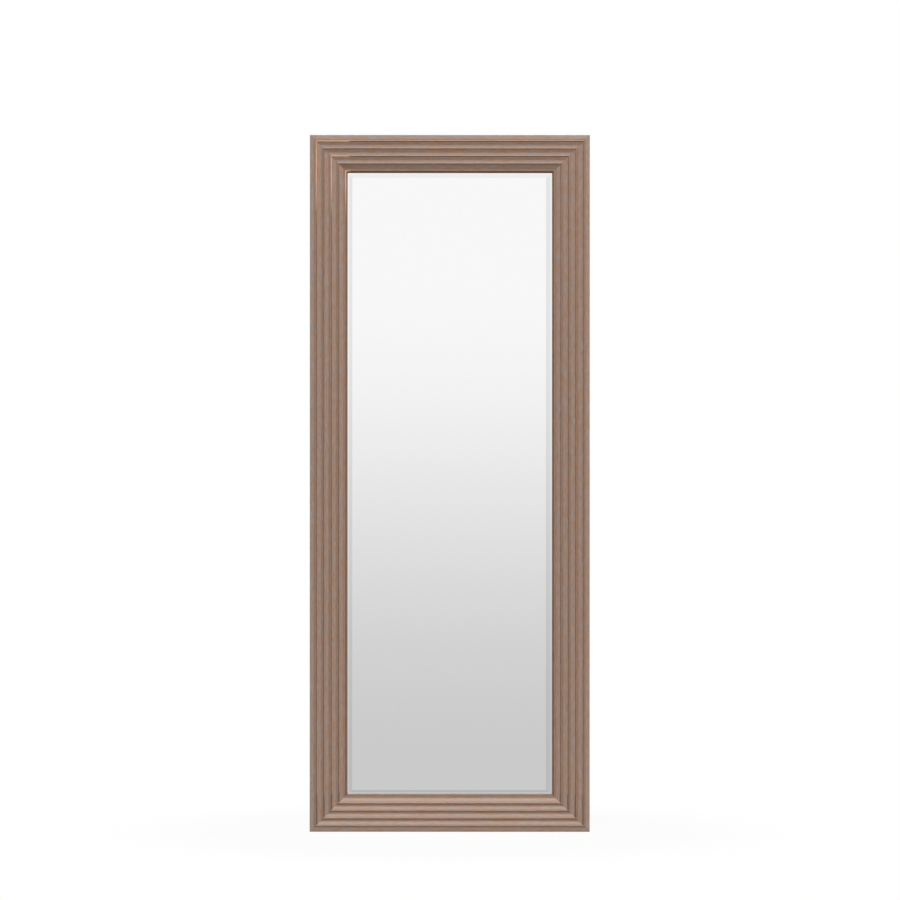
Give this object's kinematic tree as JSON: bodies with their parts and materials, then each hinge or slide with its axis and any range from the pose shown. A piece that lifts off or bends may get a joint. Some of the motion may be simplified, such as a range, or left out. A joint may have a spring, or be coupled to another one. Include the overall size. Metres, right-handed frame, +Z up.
{
  "type": "leaning floor mirror",
  "caption": "Tall bevelled mirror in a stepped and scooped moulded frame with mitred corners, which stands on the floor and leans or hangs on a wall.",
  "frame": {"origin": "middle of the bottom rail's underside, half way through the moulding's depth; the mirror stands upright on it", "axes": "X across, to the right as seen from the front; Y from the front, where -Y faces the viewer, to the back; Z up"},
  "size_m": [0.614, 0.0461, 1.5284],
  "materials": {
    "frame_finish": "brushed bronze-grey leaf over copper",
    "mirror": "silvered, bevelled edge",
    "backing": "smooth hardboard",
    "point_steel": "rolled strip",
    "nail_steel": "spring steel",
    "zinc_steel": "zinc plated",
    "bumper_rubber": "moulded, matt"
  },
  "bodies": {
    "mirror": {"top_rail": "frame_finish", "bottom_rail": "frame_finish", "left_stile": "frame_finish", "right_stile": "frame_finish", "mirror_glass": "mirror", "backing_board": "backing", "glazing_points_top": "point_steel", "glazing_points_bottom": "point_steel", "glazing_points_left": "point_steel", "glazing_points_right": "point_steel", "v_nails_top_left": "nail_steel", "v_nails_top_right": "nail_steel", "v_nails_bottom_left": "nail_steel", "v_nails_bottom_right": "nail_steel", "hanger_strap_left": "zinc_steel", "hanger_strap_right": "zinc_steel", "hanger_screws_left": "zinc_steel", "hanger_screws_right": "zinc_steel", "wall_bumper_top_left": "bumper_rubber", "wall_bumper_top_right": "bumper_rubber", "wall_bumper_bottom_left": "bumper_rubber", "wall_bumper_bottom_right": "bumper_rubber"},
    "ring_left": {"hanger_ring_left": "zinc_steel"},
    "ring_right": {"hanger_ring_right": "zinc_steel"}
  },
  "joints": [
    {"name": "ring_left_swing", "type": "hinge", "parent": "mirror", "child": "ring_left", "pos_m": [-0.26855, 0.02253, 1.2284], "axis": [1, 0, 0], "range_deg": [0, 180]},
    {"name": "ring_right_swing", "type": "hinge", "parent": "mirror", "child": "ring_right", "pos_m": [0.26855, 0.02253, 1.2284], "axis": [1, 0, 0], "range_deg": [0, 180]}
  ]
}
